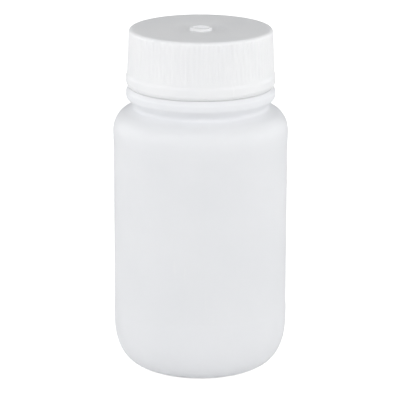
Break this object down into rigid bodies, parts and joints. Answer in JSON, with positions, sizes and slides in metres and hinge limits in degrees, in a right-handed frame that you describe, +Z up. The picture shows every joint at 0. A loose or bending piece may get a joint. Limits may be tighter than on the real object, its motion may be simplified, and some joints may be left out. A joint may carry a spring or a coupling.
{
  "type": "wide-mouth reagent bottle",
  "caption": "Round wide-mouth plastic reagent bottle with a rounded shoulder, a carrying ring under the neck finish and a ribbed, lined screw cap.",
  "frame": {"origin": "centre of the foot, on the surface the bottle stands on", "axes": "+Z up along the bottle's axis; the thread turns right-handed about it"},
  "size_m": [0.0508, 0.0508, 0.1005],
  "materials": {
    "bottle_polypropylene": "translucent natural polypropylene, satin",
    "cap_polypropylene": "natural polypropylene, moulded satin",
    "liner_foam": "closed-cell polyethylene foam"
  },
  "bodies": {
    "bottle": {"bottle": "bottle_polypropylene"},
    "liner": {"cap_liner": "liner_foam"},
    "cap": {"screw_cap": "cap_polypropylene"}
  },
  "joints": [
    {"name": "cap_lift", "type": "slide", "parent": "bottle", "child": "liner", "axis": [0, 0, 1], "range_m": [0, 0.0254]},
    {"name": "cap_turn", "type": "hinge", "parent": "liner", "child": "cap", "pos_m": [0, 0, 0.0835], "axis": [0, 0, 1], "range_deg": [0, 2160]}
  ],
  "couplings": [
    {"joint": "cap_lift", "follows": "cap_turn", "m_per_rad": 0.00067375}
  ]
}
